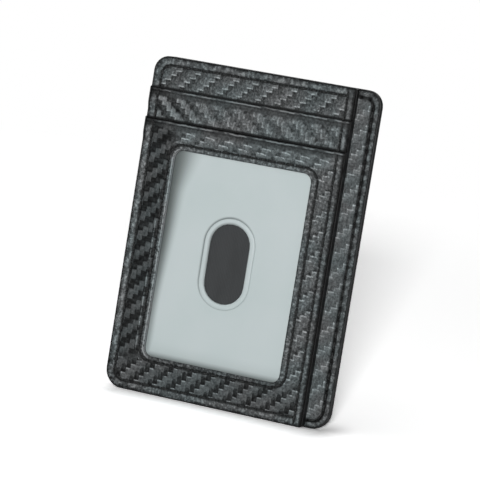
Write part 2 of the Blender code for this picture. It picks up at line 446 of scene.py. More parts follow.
# Lines on the leather, in even steps
def evenSteps(points, step):
    lengths = [0.0]
    for first, last in zip(points, points[1:]):
        lengths.append(lengths[-1] + hypot(last[0] - first[0], last[1] - first[1]))
    count = max(round(lengths[-1] / step), 1)
    made = []
    part = 0
    for number in range(count + 1):
        along = number / count * lengths[-1]
        while part < len(points) - 2 and lengths[part + 1] < along:
            part += 1
        share = (along - lengths[part]) / max(lengths[part + 1] - lengths[part], 1e-9)
        made.append(tuple(a + (b - a) * share for a, b in zip(points[part], points[part + 1])))
    return made


def roundPath(box, radii, step):
    left, right, bottom, top = box
    points = []
    for (x, z), radius, start in zip(cornersOf(box), radii, (2, 3, 0, 1)):
        middleX = x + radius if x == left else x - radius
        middleZ = z + radius if z == bottom else z - radius
        for number in range(9):
            angle = (start + number / 8) * pi / 2
            points.append((middleX + radius * cos(angle), middleZ + radius * sin(angle)))
    return evenSteps([*points, points[0]], step)[:-1]


def depthOn(half, x, height):
    # The y of the leather that shows at a place
    left, right = half["box"][:2]
    for mouth, low, high in half["layers"]:
        if height <= mouth:
            share = eased((height - (mouth - drapeStart)) / drapeLength)
            ends = eased(1 - min(x - left, right - x) / endReach)
            return low + (high - low) * share * (1 - endShare * ends)
    return half["layers"][-1][1]


def eased(share):
    share = min(max(share, 0), 1)
    return share * share * (3 - 2 * share)


def onFace(points, half, out=0.0):
    side = 1 if half["layers"][0][1] > 0 else -1
    return [(x, depthOn(half, x, z) + side * out, z) for x, z in points]


def flatLine(points, y):
    return [(x, y, z) for x, z in points]


# Sizes that several pieces share. Layers go from the bottom up: height of the mouth, y at foot, y at mouth
cornerSteps = 6
rimRings = inMm(0.1, 0.14)
drapeStart = 7.5 * mm
drapeLength = 3 * mm
endReach = 6 * mm
endShare = 0.85
leatherThick = 0.9 * mm
front = {
    "box": inMm(-38.55, 30.85, 0.45, 109.55),
    "layers": [inMm(89.4, -3.05, -3.65), inMm(99.4, -2.70, -3.40), inMm(110, -2.45, -2.45)],
    "radii": inMm(5.55, 0.75, 0.75, 4.55),
    "seam": inMm(-36.0, 28.25, 2.9, 107.1),
    "seamRadii": inMm(3.5, 0, 0, 2.5),
    "slotSeam": inMm(0.9, 108.9),
    "seamNames": ("front", "slot"),
    # From and to where painted shade darkens the leather towards the money slot
    "slotShade": inMm(29.45, 31.05),
    # How far below the mouth the crease's painted highlight lies
    "creaseShown": 0.58 * mm,
}
rear = {
    "box": inMm(-38.55, 38.55, 0.45, 109.55),
    "layers": [
        inMm(79.4, 2.70, 3.65),
        inMm(89.4, 2.70, 3.40),
        inMm(99.4, 2.45, 3.15),
        inMm(110, 2.20, 2.20),
    ],
    "radii": inMm(5.55, 5.55, 4.55, 4.55),
    "seam": inMm(-36.5, 36.5, 2.5, 107.5),
    "seamRadii": inMm(3.5, 3.5, 2.5, 2.5),
    "seamNames": ("rear",),
    "slotShade": None,
    # How far below the mouth the crease's painted highlight lies
    "creaseShown": 0.6 * mm,
}
window = {
    "opening": inMm(-26.7, 20.95, 12.3, 80.55),
    "radius": 2.8 * mm,
    "seam": inMm(-28.8, 23.2, 10.65, 82.45),
    "seamRadius": 4.7 * mm,
}
film = {
    "face": -2.10 * mm,
    "thick": 0.3 * mm,
    "lap": 3.4 * mm,
    "radius": 6.2 * mm,
    "hole": inMm(-10.15, 3.70, 33.70, 59.90),
    "holeRadius": 6.675 * mm,
    "rim": 1.85 * mm,
    "rimOut": 0.05 * mm,
    # The rim's steps from its outer line to the hole, in mm: how far in, and how far towards the viewer
    "rimSteps": (
        (0.02, 0.16), (0.13, 0.15), (0.30, 0.06), (0.48, 0.02),
        (0.48, -0.03), (0.25, -0.09), (0.13, -0.17), (0.06, -0.35),
    ),
    # Film colours; shade, outerLine and innerLine are the colours of painted shade
    "pale": ((0.425, 0.487, 0.489), (0.458, 0.511, 0.517)),
    "shade": (0.075, 0.088, 0.085),
    "outerLine": (0.10, 0.12, 0.12),
    "innerLine": (0.16, 0.18, 0.18),
}


# Where the seams run in the leather's shader: how far outside a seam a point is, and how near to one
seamCorner = 3 * mm


def frontSeamLines(x, z):
    # The ring is far wider than the front half, and the slot's seam cuts it off
    left, right, bottom, top = front["seam"]
    farRight = 90 * mm
    ring = frameDistance(x, z, (left, farRight, bottom, top), seamCorner)
    slot = x - right
    return ring.most(slot), (abs(ring) + slot.riseMm(0.2, 0.5)).least(abs(slot))


def panelSeamLines(x, z):
    outside, near = frontSeamLines(x, z)
    ring = frameDistance(x, z, window["seam"], window["seamRadius"])
    return outside.most(-ring), near.least(abs(ring))


def rearSeamLines(x, z):
    ring = frameDistance(x, z, rear["seam"], seamCorner)
    return ring, abs(ring)


# Leather: a 2/2 twill that is embossed in synthetic leather, smooth along the seams and the turned edges
# Its tones are as the eye sees them, with sheen, glints and shade painted into them, from 0 for black to 1
# for white
twill = {
    "cool": (0.87, 1.01, 1.04),
    "warm": (0.955, 1.0, 1.02),
    "depth": 0.20 * mm,
    "strength": 0.84,
}
# Of these tones, groove and behind are painted shade, and the window's rim, its wall and the crease are
# painted highlights
tones = {
    "margin": 0.155,
    "groove": 0.12,
    "windowRimHighlight": 0.58,
    "windowWallLight": 0.46,
    "band": 0.265,
    "crease": 0.25,
    "behind": 0.13,
    "darkest": 0.03,
}
# How each piece was cut from it: a tow's width and height in mm, where the pattern starts,
# -1 where the twill slants the other way, and how far it drops to the right, in rows for each metre
cuts = {
    "panel": (1.664, 1.618, (1.24, 0.765), 1, 5.2),
    "middle_pocket_strip": (1.683, 1.606, (0.78, 0.49), -1, 0),
    "front_top_strip": (1.683, 1.606, (3.28, 0.33), 1, 0),
    "facing": (1.691, 1.593, (3.28, 0.93), 1, 0),
    "rear_top_strip": (1.683, 1.606, (0.1, 0.2), 1, 0),
    "rear_pocket_1_strip": (1.683, 1.606, (0.5, 0.7), 1, 0),
    "rear_pocket_2_strip": (1.683, 1.606, (0.2, 0.5), 1, 0),
    "rear_pocket_3_panel": (1.683, 1.606, (0.8, 0.3), 1, 0),
}
# Painted light: how the tows catch the light, painted as tone for each part of the leather, a column for
# each part
parts = ("foot", "left", "above", "right", "facing", "top", "second", "secondEnd", "rear")
towLooks = {
    # How far up an upright tow has its own tone, how much less at its sides, and how softly that ends
    "reach": (1.8, 2, 0.6, 0.55, 2.1, 2.05, 1.85, 1.85, 1.75),
    "round": (0.4, 0.07, 0.05, 0.5, 0.2, 0.1, 0.3, 0.2, 0.4),
    "soft": (0.18, 0.3, 0.2, 0.2, 0.2, 0.12, 0.15, 0.15, 0.15),
    # That tone at its foot and at its head, with painted shade and sheen
    "foot": (0.105, 0.265, 0.29, 0.22, 0.375, 0.315, 0.40, 0.445, 0.15),
    "head": (0.225, 0.325, 0.13, 0.17, 0.385, 0.21, 0.33, 0.375, 0.24),
    # Tone of a level tow, and its painted shading: its drop downwards and its gain to the right
    "light": (0.345, 0.145, 0.405, 0.395, 0.475, 0.345, 0.285, 0.20, 0.345),
    "fall": (0.015, 0.01, 0.018, 0.032, 0.02, 0, -0.02, -0.01, 0.015),
    "lead": (0.01, 0.02, 0, -0.02, -0.03, 0.04, 0.03, 0.04, 0),
    # The painted glint along a level tow: its height, two bends, its ends and its strength
    "rim": (0.88, 0.88, 0.88, 0.82, 0.84, 0.2, 0.15, 0.15, 0.86),
    "arc": (0, 0, 0.45, 0.3, 0.9, 0, 0.1, 0.1, 0.2),
    "hump": (0, 0, 0.1, 0.15, 0, 0, 1.2, 1.2, 0),
    "start": (0, 0, 0.3, 0.3, 0, 0.9, 0.4, 0.4, 0.1),
    "stop": (0.7, 0.7, 1.9, 1.3, 1.3, 1.9, 0.7, 0.7, 1.3),
    "edge": (0.13, 0, 0.18, 0.16, 0.12, 0.18, 0.1, 0.06, 0.13),
    # Painted glints at the left of a level tow and of an upright one
    "side": (0.01, 0, 0.02, 0.08, 0.1, 0.03, 0.03, 0.03, 0.04),
    "bow": (0, 0, 0.01, 0.06, 0.03, 0, 0.09, 0.08, 0.01),
    # A dark spot on a level tow, and how far to the right it is
    "dot": (0.02, 0.02, 0, 0.06, 0, 0, 0.07, 0.06, 0.01),
    "dotX": (0.2, 0.7, 0.4, 0.73, 0.5, 0.5, 0.45, 0.45, 0.4),
    # Short bright strokes of painted highlight, unevenness of tone, and how much the tows wander
    "strokes": (0.02, 0.02, 0.05, 0.05, 0.05, 0.08, 0.07, 0.04, 0.04),
    "mottle": (0.4, 0.28, 0.45, 0.48, 0.46, 0.5, 0.46, 0.4, 0.42),
    "sway": (0.25, 0.35, 0.3, 0.35, 0.35, 0.25, 0.4, 0.35, 0.3),
}
looks = {part: {key: row[number] for key, row in towLooks.items()} for number, part in enumerate(parts)}


def blendLook(values, other, share):
    for key, value in other.items():
        if values[key] != value:
            values[key] = values[key] + (value - values[key]) * share


def panelLook(x, z):
    # Painted light: down the left side the upright tows are painted as catching the light, elsewhere the
    # level ones
    values = dict(looks["foot"])
    left = (1 - x.riseMm(-29, -24)) * z.riseMm(8, 14)
    above = z.riseMm(79, 84) * x.riseMm(-31, -22)
    right = x.riseMm(18, 25) * z.riseMm(6, 15) * (1 - z.riseMm(80, 86))
    for name, share in (("left", left), ("above", above), ("right", right)):
        blendLook(values, looks[name], share)
    return values


def secondLook(x, z):
    values = dict(looks["second"])
    blendLook(values, looks["secondEnd"], 1 - x.riseMm(-29, -19))
    return values


def wovenTone(finish, x, z, look, cut, grain, curl, cloud):
    # Each row of tows steps one to the side. Gives the tone, with painted sheen, shade and glints in it,
    # which tows lie level, and the relief
    across, upright, start, turned, askew = cut
    sway = finish.noise(420) - 0.5
    lean = finish.noise(420, shift=(0.3, 0.1, 0.2)) - 0.5
    column = x * (turned / (across * mm)) + start[0] + sway * look["sway"]
    row = z / (upright * mm) + x * askew + start[1] + lean * look["sway"]
    inColumn = column.fract()
    inRow = row.fract()
    step = (column.floor() - row.floor()) % 4
    level = step.rise(1.4, 1.6)
    along = inRow + 1 - step
    below = (step + 2) % 4 + 1 - inRow
    fromLeft = inColumn + step - 2
    fromSide = inColumn
    if turned < 0:
        fromLeft = 2 - fromLeft
        fromSide = 1 - inColumn
    side = inColumn * 2 - 1
    dark = (1 - level) * ((look["reach"] - side * side * look["round"] - along) / look["soft"]).rise(-1, 1)

    threadUpright = finish.noise(1500, 1.0, stretch=(1, 1, 0.16)) - 0.5
    threadLevel = finish.noise(1500, 1.0, stretch=(0.16, 1, 1)) - 0.5
    # The tows' tones carry painted sheen and shade, lighter or darker towards a tow's foot and head and
    # down the rows
    darkTone = look["foot"] + (look["head"] - look["foot"]) * along * 0.5 + threadUpright * 0.10
    lightTone = look["light"] - below * look["fall"] + (fromLeft - 1) * level * look["lead"]
    tone = blend(dark, lightTone + threadLevel * 0.12, darkTone)

    bend = (fromLeft - 1).most(0)
    line = look["rim"] - bend * bend * look["arc"] * 0.45 - fromSide * fromSide * look["hump"] * 0.45
    edge = (1 - abs(inRow - line).rise(0.05, 0.20)) * level
    edge = edge * fromLeft.rise(look["start"] - 0.3, look["start"])
    edge = edge * (1 - (fromLeft - look["stop"]).rise(0, 0.4))
    left = (1 - abs(fromSide - 0.10).rise(0.03, 0.17)) * (1 - (below - 0.2).rise(0, 2.4)) * (1 - dark)
    middle = along - 1
    bow = (1 - abs(fromSide - 0.15 - middle * middle * 0.2).rise(0.06, 0.30)) * (1 - level)
    spotX = fromLeft - look["dotX"]
    spotZ = inRow - 0.5
    dot = (1 - ((spotX * spotX + spotZ * spotZ) ** 0.5).rise(0.10, 0.50)) * level
    # Painted glints on the tows' edges, and short bright strokes as painted highlights
    paintedGlints = edge * look["edge"] + left * look["side"] + bow * look["bow"]
    tone = tone + paintedGlints * (0.4 + grain.rise(0.30, 0.58) * 0.9) - dot * look["dot"]
    tone = tone + (1 - abs(curl - 0.5).rise(0.010, 0.060)) * look["strokes"]
    tone = tone + (grain - 0.5) * look["mottle"] + (cloud - 0.5) * 0.08

    crownUpright = 1 - side ** 4
    crownLevel = 1 - (inRow * 2 - 1) ** 4
    return tone, level, blend(level, crownUpright * 0.85, crownLevel)


def marginTone(finish, outside, speck, twillPart):
    # Margins outside each seam roll over like a bead, and swell beside every stitch; the bead's crest and
    # each swell are painted lighter, a painted highlight
    puff = finish.node("ShaderNodeAttribute", {"attribute_name": "puff"}, {}, "Fac")
    bead = outside.riseMm(0, 0.9) * (1 - outside.riseMm(1.35, 2.5) * 0.62)
    tone = tones["margin"] + bead * 0.18 + (puff - 0.35) * 0.05
    return tone + speck.rise(0.44, 0.66) * 0.12 + (speck - 0.5) * 0.36 + twillPart * 0.13


def grooveTone(finish, near, curl, tone):
    # Painted shade: the seam's groove is painted dark, darkest under the stitches
    hole = finish.node("ShaderNodeAttribute", {"attribute_name": "hole"}, {}, "Fac")
    groove = 1 - (near + (curl - 0.5) * (0.4 * mm)).riseMm(0.08, 0.60)
    between = hole.rise(0.35, 0.85)
    return groove, blend(groove * (1.0 - between * 0.45), tone, tones["groove"] + between * 0.10)


def windowTone(around, atLeft, speck, cloud, tone):
    # Painted highlights: at the left of the window the cut edge and its wall are painted as catching the
    # light, and so is the twill's end
    rim = (1 - abs(around - 0.62 * mm).riseMm(0.10, 0.40)) * atLeft
    tone = blend(rim * (0.25 + speck.rise(0.34, 0.50) * 0.75), tone, tones["windowRimHighlight"])
    tone = blend((1 - around.riseMm(0.10, 0.35)) * atLeft, tone, tones["windowWallLight"])
    lipHighlight = (1 - abs(around - 3.15 * mm).riseMm(0.06, 0.26)) * atLeft
    return tone + lipHighlight * cloud.rise(0.42, 0.56) * speck.rise(0.34, 0.54) * 0.24


def mouthTone(finish, x, z, mouth, groove, grain, curl, tone):
    # A turned mouth: a smooth band, with a painted highlight on its crease, painted shade in a line below
    # the crease, and painted shade darkening to black at the mouth's lip
    height, creaseDrop = mouth
    drop = height - z + (finish.noise(260) - 0.5) * (0.5 * mm) + (curl - 0.5) * (0.30 * mm)
    fromCrease = drop - creaseDrop
    atEnd = 1 - x.riseMm(-36, -30)
    band = tones["band"] - atEnd * 0.09 + (grain - 0.5) * 0.30
    tone = blend((1 - drop.riseMm(2.1, 3.0)) * (1 - groove * 0.8), tone, band)
    crease = (1 - abs(fromCrease).riseMm(0.05, 0.30)) * (1 - groove * 0.4) * (1 - atEnd * 0.85)
    broken = finish.noise(620, 2.0, 0.6, stretch=(0.45, 1, 1)).rise(0.38, 0.58)
    tone = blend(crease, tone, tones["crease"] + broken * 0.27)
    tone = tone - (1 - abs(fromCrease - 0.55 * mm).riseMm(0.10, 0.42)) * 0.055
    return tone * (fromCrease + 0.55 * mm).riseMm(-0.1, 0.3)


def embossedLeather(name, seamLines, look, core, mouth=None, behind=None, opening=None, slot=None):
    # core: y behind which the cut edge is coated. mouth: its height, and how far below it the crease's
    # painted highlight lies
    # behind: height below which it is hidden by the next mouth, with a painted shadow just above it. slot:
    # from and to where painted shade darkens it towards the money slot
    finish = Finish(name + "_leather")
    x, y, z = finish.axes()
    look = look(x, z) if callable(look) else looks[look]
    startX, startZ = cuts[name][2]
    grain = finish.noise(1250, 2.0, 0.65)
    speck = finish.noise(1000, 2.0, 0.65, shift=(0.2, 0, 0.1))
    curl = finish.noise(900, 1.0, stretch=(1, 1, 0.5), shift=(startX, 0, startZ))
    cloud = finish.noise(160, shift=(startZ, 0, startX))
    tone, level, relief = wovenTone(finish, x, z, look, cuts[name], grain, curl, cloud)
    coat = 0.75

    outside, near = seamLines(x, z)
    smooth = outside.riseMm(0, 0.35)
    twillPart = tone - look["light"]
    margin = marginTone(finish, outside, speck, twillPart)
    if opening:
        # Round the window, painted shade dims the margin at the left and the foot, and the cut edge is
        # darkened less
        around = frameDistance(x, z, *opening)
        left, right, bottom, top = opening[0]
        atLeft = 1 - (x - left).riseMm(0, 3)
        paintedWindowShade = atLeft.most(1 - (z - bottom).riseMm(0, 3)) * (1 - around.riseMm(1.9, 2.4))
        margin = margin - paintedWindowShade * 0.08 + twillPart * atLeft * 0.35
        coat = coat - (1 - around.riseMm(0.4, 1.4)) * 0.70
    tone = blend(smooth, tone, margin)
    groove, tone = grooveTone(finish, near, curl, tone)
    if opening:
        tone = windowTone(around, atLeft, speck, cloud, tone)
    if mouth:
        tone = mouthTone(finish, x, z, mouth, groove, grain, curl, tone)
    # Painted shadow on the strip just above the lower piece's mouth
    if behind:
        tone = blend(1 - (z - behind).riseMm(0.15, 0.95), tone, tones["behind"])
    # Painted shade: the leather darkens towards the money slot
    if slot:
        tone = tone * (1 - ((x - slot[0]) / (slot[1] - slot[0])).rise(0, 1) * 0.80)
    depth = y - core if core < 0 else core - y
    tone = tone * (1 - depth.riseMm(0, 0.35) * coat)

    albedo = tone.most(tones["darkest"]) ** 2.2 * twill["strength"]
    hue = finish.mix(finish.noise(85).rise(0.38, 0.66), twill["cool"], twill["warm"])
    colour = finish.mix(albedo, (0, 0, 0), hue)
    height = relief * (1 - smooth) + grain * 0.45 + speck * smooth * 0.5
    normal = finish.bump(height, 0.7, twill["depth"])
    rough = 0.50 - level * (1 - smooth) * 0.06 + grain * 0.14
    return finish.set(Base_Color=colour, Roughness=rough, Normal=normal, Specular_IOR_Level=0.11)


def plainCloth():
    finish = Finish("lining_cloth")
    x, y, z = finish.axes()
    rib = (x * (2 * pi / (0.55 * mm)) + finish.noise(500) * 2).sin() * 0.5 + 0.5
    weft = (z * (2 * pi / (0.30 * mm))).sin() * 0.5 + 0.5
    tone = finish.noise(240, 3.0, stretch=(1, 1, 0.25)).rise(0.3, 0.7)
    colour = finish.mix(rib * 0.6 + tone * 0.4, (0.022, 0.024, 0.025), (0.036, 0.039, 0.041))
    normal = finish.bump(rib + weft * 0.35, 0.7, 0.08 * mm)
    return finish.set(Base_Color=colour, Roughness=0.85, Normal=normal)


def frostedFilm():
    finish = Finish("window_film")
    x, y, z = finish.axes()
    left, right, bottom, top = window["opening"]
    mottle = finish.noise(40, 2.0, 0.5).rise(0.25, 0.75)
    haze = finish.noise(1400, 2.0, 0.6)
    colour = finish.mix(mottle, *film["pale"])
    colour = finish.mix(haze * 0.05, colour, (0.37, 0.41, 0.41))
    # Painted shade: beside the leather and along its foot the film is painted darker, widest at the upper
    # left
    width = 2.6 * mm + z.riseMm(24, 72) * (3.4 * mm) + z.riseMm(66, 80) * (4.0 * mm)
    sides = (1 - ((x - left) / width).rise(0, 1)) * (0.54 + z.riseMm(18, 56) * 0.42)
    foot = (1 - (z - bottom).riseMm(-0.6, 2.8)) * 0.85
    foot = foot.most((1 - (z - bottom).riseMm(0, 6)) * 0.18)
    colour = finish.mix(sides.most(foot), colour, film["shade"])
    # Painted shade: the embossed line round the thumb hole is painted dark at the left and the top, away
    # from the light, and a fainter inner line likewise
    left, right, bottom, top = film["hole"]
    around = frameDistance(x, z, film["hole"], (right - left) / 2)
    middle = (left + right) * 0.43 - (bottom + top) * 0.25
    lit = (x * 0.86 - z * 0.5 - middle).riseMm(-9, 6)
    fromLine = around - film["rim"]
    line = 1 - (fromLine / (1 - lit * 0.6) + 0.05 * mm).riseMm(0.10, 0.95)
    line = line * fromLine.riseMm(-0.16, 0.05)
    colour = finish.mix(line * (0.82 - lit * 0.58), colour, film["outerLine"])
    inner = (1 - around.riseMm(0.15, 0.95)) * (1 - lit)
    colour = finish.mix(inner * 0.58, colour, film["innerLine"])
    normal = finish.bump(haze, 0.12, 0.05 * mm)
    return finish.set(Base_Color=colour, Roughness=0.42, Normal=normal, Specular_IOR_Level=0.3)


def edgePaint():
    finish = Finish("edge_coating")
    x, y, z = finish.axes()
    wear = finish.noise(420, 3.0, 0.6).rise(0.35, 0.8)
    colour = finish.mix(wear, (0.008, 0.0085, 0.009), (0.030, 0.032, 0.032))
    # Painted shade: the front half's side face, beside the money slot's mouth, is painted the darkest
    colour = finish.mix(x.riseMm(30, 31) * (y < 0) * 0.85, colour, (0.001,) * 3)
    normal = finish.bump(finish.noise(700), 0.35, 0.08 * mm)
    rough = 0.42 + wear * 0.14
    return finish.set(Base_Color=colour, Roughness=rough, Normal=normal, Specular_IOR_Level=0.2)


def greyBoard():
    finish = Finish("stiffener_board")
    fibre = finish.noise(900, 4.0, 0.7, stretch=(1, 1, 0.4)).rise(0.3, 0.7)
    colour = finish.mix(fibre, (0.25, 0.225, 0.18), (0.35, 0.315, 0.26))
    return finish.set(Base_Color=colour, Roughness=0.88, Normal=finish.bump(fibre, 0.3, 0.05 * mm))


def blackThread():
    finish = Finish("sewing_thread")
    twist = finish.noise(2400).rise(0.3, 0.7)
    colour = finish.mix(twist, (0.005, 0.0055, 0.0055), (0.030, 0.032, 0.032))
    normal = finish.bump(twist, 0.5, 0.06 * mm)
    return finish.set(Base_Color=colour, Roughness=0.55, Normal=normal, Specular_IOR_Level=0.2)


# Stage
def layFloor():
    deselect()
    bpy.ops.mesh.primitive_plane_add(size=studio["floorSize"], location=(0, 0, 0))
    ground = bpy.context.object
    ground.name = "floor"
    finish = Finish("floor")
    x, y, z = finish.axes()
    seen = finish.node("ShaderNodeLightPath", {}, {})
    away = (x * x + y * y) ** 0.5
    far = away.rise(*studio["floorFade"]) * seen
    # Painted shadow: the lift is cut close to the foot of the holder, where the light fails
    apart = frameDistance(x, y * studio["footStretch"], *studio["foot"])
    paintedFootShadow = (1 - apart.rise(*studio["footReach"])) * studio["footShade"]
    extra = finish.mix(away.rise(*studio["liftReach"]), *studio["floorLift"])
    extra = finish.mix(paintedFootShadow, extra, (0, 0, 0))
    lift = finish.node("ShaderNodeBsdfDiffuse", {}, {"Color": finish.mix(seen, (0, 0, 0), extra)})
    white = finish.node("ShaderNodeEmission", {}, {"Color": (1, 1, 1), "Strength": 1.0})
    finish.set(Base_Color=studio["floorColour"], Roughness=1.0, Specular_IOR_Level=0)
    both = finish.node("ShaderNodeAddShader", {}, {0: Value(finish, finish.shader.outputs[0]), 1: lift})
    finish.feed(finish.out.inputs[0], finish.node("ShaderNodeMixShader", {}, {0: far, 1: both, 2: white}))
    ground.data.materials.append(finish.material)
    ground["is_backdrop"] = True


def hangSky():
    # The camera sees plain white, and the holder is lit by a fainter glow
    world = bpy.data.worlds.new("studio")
    bpy.context.scene.world = world
    world.use_nodes = True
    nodes = world.node_tree.nodes
    sky = nodes["Background"]
    path = nodes.new("ShaderNodeLightPath")
    level = nodes.new("ShaderNodeMapRange")
    level.inputs["To Min"].default_value = studio["skyGlow"]
    world.node_tree.links.new(path.outputs["Is Camera Ray"], level.inputs["Value"])
    world.node_tree.links.new(level.outputs["Result"], sky.inputs["Strength"])
    sky.inputs["Color"].default_value = (1, 1, 1, 1)
    bpy.context.scene.view_settings.view_transform = "Standard"


print("camera, floor and lamps")
placeCamera()
placeLamps()
layFloor()
hangSky()

# Sewing: the groove under a seam, its needle holes, the leather that swells beside it, and the thread
sewing = {
    "pitch": 3.4 * mm,
    "windowPitch": 3.2 * mm,
    "step": 0.4 * mm,
    "gap": 1.25 * mm,
    "thread": 0.32 * mm,
    "straight": 0.7,
    # How far each end of a stitch runs on, and its width there
    "ends": ((0.08, 0.86), (0.05, 0.62), (0.02, 0.5)),
    "dip": 0.09 * mm,
    "sunk": 0.04 * mm,
    "grooveReach": 0.65 * mm,
    "groove": 0.26 * mm,
    "holeReach": 1.0 * mm,
    "hole": 0.06 * mm,
    "puffOut": 1.15 * mm,
    "puffReach": 1.45 * mm,
    "puff": 0.15 * mm,
}


class Seam:
    def __init__(self, name, half, line, holes, outwards=1, closed=True):
        self.name = name
        self.half = half
        self.side = 1 if half["layers"][0][1] > 0 else -1
        self.line = line
        self.holes = holes
        self.closed = closed
        self.outwards = outwards

    def stitches(self):
        ends = self.holes + self.holes[:1] if self.closed else self.holes
        return list(zip(ends, ends[1:]))

    def puffs(self):
        points = []
        out = sewing["puffOut"] * self.outwards
        for (startX, startZ), (endX, endZ) in self.stitches():
            length = hypot(endX - startX, endZ - startZ)
            outX = (endZ - startZ) / length * out
            outZ = -(endX - startX) / length * out
            points.append(((startX + endX) / 2 + outX, (startZ + endZ) / 2 + outZ))
        return points

    def mark(self, piece):
        line = onFace(self.line, self.half)
        holes = onFace(self.holes, self.half)
        puffs = onFace(self.puffs(), self.half)
        press(piece, line, sewing["grooveReach"], -self.side * sewing["groove"], closed=self.closed)
        press(piece, holes, sewing["holeReach"], -self.side * sewing["hole"], spots=True, keep="hole")
        press(piece, puffs, sewing["puffReach"], self.side * sewing["puff"], spots=True, keep="puff")

    def thread(self, stitch, material):
        # One stitch, copied along the seam and joined
        copies = []
        for first, last in self.stitches():
            ends = [Vector(point) for point in onFace([first, last], self.half, -sewing["sunk"])]
            along = (ends[1] - ends[0]).normalized()
            out = Vector((0, self.side, 0))
            out = (out - along * out.dot(along)).normalized()
            turn = Matrix((along, out.cross(along), out)).transposed().to_4x4()
            length = (ends[1] - ends[0]).length - sewing["gap"]
            turn = Matrix.Translation((ends[0] + ends[1]) / 2) @ turn @ Matrix.Diagonal((length, 1, 1, 1))
            data = stitch.data.copy()
            data.transform(turn)
            copy = bpy.data.objects.new(self.name, data)
            bpy.context.scene.collection.objects.link(copy)
            copies.append(copy)
        join(*copies)
        thread = copies[0]
        thread.name = self.name
        thread.data.name = self.name
        edit()
        turnOutwards()
        finished(thread, material, angle=80)


def oneStitch():
    # A thread that dips into its two holes: 1 long, so that each seam sets its length
    deselect()
    bpy.ops.mesh.primitive_cylinder_add(
        vertices=8, radius=sewing["thread"], depth=sewing["straight"], rotation=(0, pi / 2, 0)
    )
    stitch = bpy.context.object
    settle(stitch)
    edit()
    for side in (1, -1):
        pick("FACE", lambda face: face.normal.x * side > 0.9)
        for reach, width in sewing["ends"]:
            move = {"value": (reach * side, 0, -sewing["dip"])}
            bpy.ops.mesh.extrude_region_move(TRANSFORM_OT_translate=move)
            bpy.ops.transform.resize(value=(1, width, width))
    leave()
    return stitch


def ringSeam(name, half, box, radii, pitch, outwards):
    return Seam(name, half, roundPath(box, radii, sewing["step"]), roundPath(box, radii, pitch), outwards)


def lineSeam(name, half, line):
    return Seam(name, half, line, evenSteps(line, sewing["pitch"]), closed=False)


# The front seam is open at the right, where the slot's own seam runs the whole height
frontRound = roundPath(front["seam"], front["seamRadii"], sewing["step"])
lowerRight = frontRound.index(max(frontRound, key=lambda point: point[0] - point[1]))
upperRight = frontRound.index(max(frontRound, key=lambda point: point[0] + point[1]))
frontOpen = frontRound[upperRight:] + frontRound[:lowerRight + 1]
slotLine = evenSteps([(front["seam"][1], height) for height in front["slotSeam"]], sewing["step"])
windowRadii = (window["seamRadius"],) * 4
seams = {
    "front": lineSeam("front_seam_thread", front, frontOpen),
    "slot": lineSeam("slot_seam_thread", front, slotLine),
    "window": ringSeam("window_seam_thread", front, window["seam"], windowRadii, sewing["windowPitch"], -1),
    "rear": ringSeam("rear_seam_thread", rear, rear["seam"], rear["seamRadii"], sewing["pitch"], 1),
}

# Leather's edges. The first four are the reach and depth of what is pressed in
edges = {
    "border": inMm(0.3, 0.16),
    "window": inMm(0.5, 0.22),
    "fold": inMm(0.5, 0.28),
    "crease": inMm(0.42, 0.14),
    # How far below a mouth the crease is, and where the leather drapes out
    "creaseDrop": 1.15 * mm,
    "drapeDrop": 4.5 * mm,
    # Heights at which a mouth's ends are pressed down, from the mouth
    "ends": inMm(-3.5, -1.5, 1),
    # How far behind its face the cut edge is coated, and how far up a strip's foot is hidden, with a
    # painted shadow just above that height
    "coated": 0.15 * mm,
    "hidden": 4 * mm,
}
panelCounts = {"outer": (118, 162), "inner": (116, 158), "across": 28}
# How far below the window panel's mouth the crease's painted highlight lies
panelCrease = 0.80 * mm


def roundOff(piece, box, radii, y, size, side=-1):
    reach, depth = size
    line = flatLine(roundPath(box, radii, 0.5 * mm), y)
    press(piece, line, reach, -side * depth, falloff="SHARP")


def turnedEdge(piece, box, low, high):
    # A folded mouth: a rounded rim, a line pressed in below it, and ends that are sewn down, so lie lower
    left, right, bottom, mouth = box
    side = 1 if low > 0 else -1
    rim = [(left + (right - left) * number / 60, high, mouth) for number in range(61)]
    crease = [(x, y, mouth - edges["creaseDrop"]) for x, y, z in rim]
    reach, depth = edges["fold"]
    press(piece, rim, reach, -side * depth, closed=False, falloff="SHARP")
    reach, depth = edges["crease"]
    press(piece, crease, reach, -side * depth, closed=False)
    for x in (left, right):
        end = [(x, high, mouth + height) for height in edges["ends"]]
        press(piece, end, endReach, (low - high) * endShare, closed=False)


def leatherStrip(name, half, foot, layer, counts, look):
    # The lowest and the highest strip have the half's rounded corners, and the highest has no mouth
    mouth, low, high = half["layers"][layer]
    left, right, bottom, top = half["box"]
    side = 1 if low > 0 else -1
    lowest = foot == bottom
    highest = high == low
    box = (left, right, foot, top if highest else mouth)
    radii = (half["radii"][:2] if lowest else (0, 0)) + (half["radii"][2:] if highest else (0, 0))
    piece = sheetOf("leather_" + name, box, -abs(low), radii, counts, leatherThick, rimRings)
    if side > 0:
        activate(piece)
        edit()
        selectAll()
        bpy.ops.transform.mirror(constraint_axis=(False, True, False), center_override=(0, 0, 0))
        bpy.ops.mesh.flip_normals()
        leave()
    roundOff(piece, box, radii, low, edges["border"], side)
    if not highest:
        lift(piece, mouth - edges["drapeDrop"], high - low, drapeLength)
        turnedEdge(piece, box, low, high)
    for seam in half["seamNames"]:
        seams[seam].mark(piece)
    finish = embossedLeather(
        name, frontSeamLines if half is front else rearSeamLines, look, low - side * edges["coated"],
        mouth=None if highest else (mouth, half["creaseShown"]),
        behind=None if lowest else foot + edges["hidden"],
        slot=half["slotShade"],
    )
    finished(piece, finish, name)


